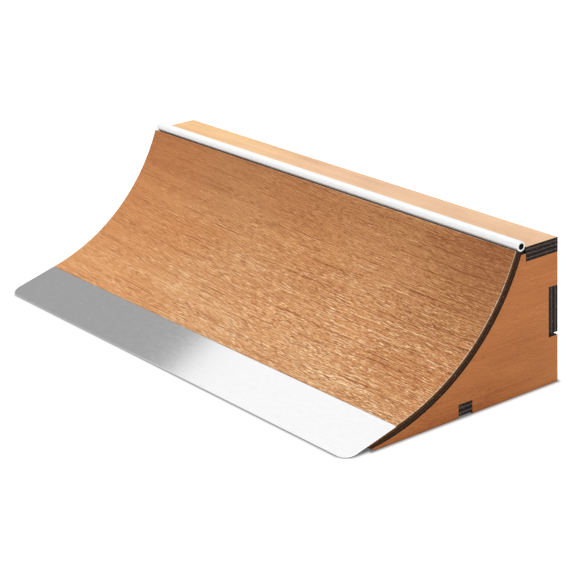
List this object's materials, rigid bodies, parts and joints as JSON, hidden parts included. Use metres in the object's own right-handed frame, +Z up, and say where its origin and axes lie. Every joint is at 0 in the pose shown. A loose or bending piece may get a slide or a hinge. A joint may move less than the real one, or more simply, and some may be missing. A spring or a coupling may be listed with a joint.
{
  "type": "tabletop quarter pipe ramp",
  "caption": "Tabletop quarter pipe for a finger skateboard: bent plywood riding face on a slotted plywood frame, flat platform, steel coping tube and thin steel threshold.",
  "frame": {"origin": "on the floor, in the middle of the width and of the depth (bottom centre of the bounding box)", "axes": "+X across the width towards the right end, +Y from the threshold towards the back face, +Z up"},
  "size_m": [0.3, 0.131, 0.0769],
  "materials": {
    "deck_veneer": "fine-grained reddish veneer, sealed satin",
    "frame_plywood": "orange-brown veneer, cut edges charred dark",
    "platform_plywood": "pale golden veneer, cut edges charred dark",
    "coping_steel": "drawn satin steel tube",
    "threshold_steel": "rolled satin steel sheet"
  },
  "bodies": {
    "root": {"deck": "deck_veneer", "left_side_panel": "frame_plywood", "right_side_panel": "frame_plywood", "left_rib": "frame_plywood", "right_rib": "frame_plywood", "back_panel": "frame_plywood", "bottom_brace": "frame_plywood", "platform": "platform_plywood", "coping_tube": "coping_steel", "threshold_plate": "threshold_steel"}
  },
  "joints": []
}
